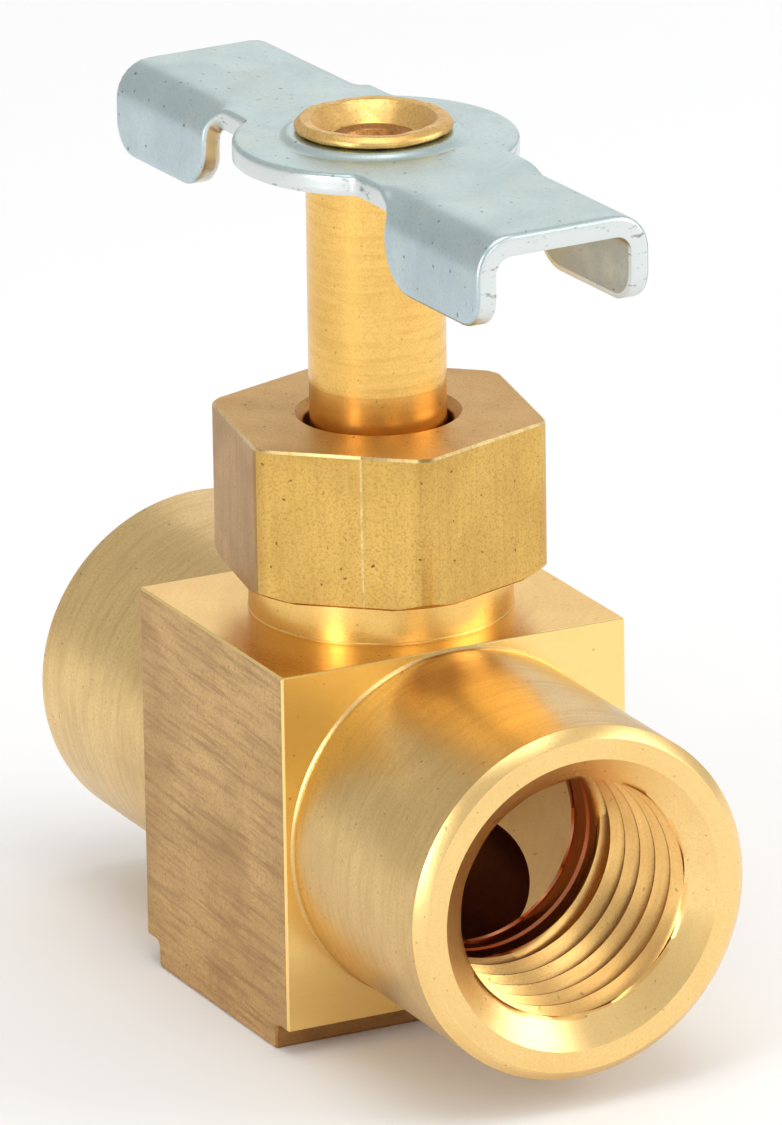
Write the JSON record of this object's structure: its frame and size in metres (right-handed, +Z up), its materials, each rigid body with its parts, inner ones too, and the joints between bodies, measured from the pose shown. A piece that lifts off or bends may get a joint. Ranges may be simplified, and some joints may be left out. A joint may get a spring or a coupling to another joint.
{
  "type": "needle valve",
  "caption": "Brass needle valve with two female pipe-thread ports in line, a hexagonal packing nut and a pressed-steel tee handle.",
  "frame": {"origin": "middle of the foot face, straight under the stem", "axes": "+X along the ports towards the outlet, +Z up the stem, +Y completing a right-handed frame; the foot stands on z = 0"},
  "size_m": [0.041, 0.0182, 0.0429],
  "materials": {
    "brass_body": "satin machined",
    "brass_nut": "dull extruded bar",
    "brass_stem": "satin turned",
    "zinc_plated_steel": "satin blue-bright zinc plate",
    "ptfe_packing": "matte"
  },
  "bodies": {
    "valve": {"valve_body": "brass_body", "packing_washer": "brass_body", "packing_ring_1": "ptfe_packing", "packing_ring_2": "ptfe_packing", "packing_ring_3": "ptfe_packing", "gland_follower": "brass_nut", "packing_nut": "brass_nut"},
    "stem": {"needle_stem": "brass_stem"},
    "handle": {"tee_handle": "zinc_plated_steel"}
  },
  "joints": [
    {"name": "stem_lift", "type": "slide", "parent": "valve", "child": "stem", "axis": [0, 0, 1], "range_m": [0, 0.0024]},
    {"name": "handle_turn", "type": "hinge", "parent": "stem", "child": "handle", "pos_m": [0, 0, 0.0416], "axis": [0, 0, 1], "range_deg": [0, 1080]}
  ],
  "couplings": [
    {"joint": "stem_lift", "follows": "handle_turn", "m_per_rad": 0.00012633}
  ]
}
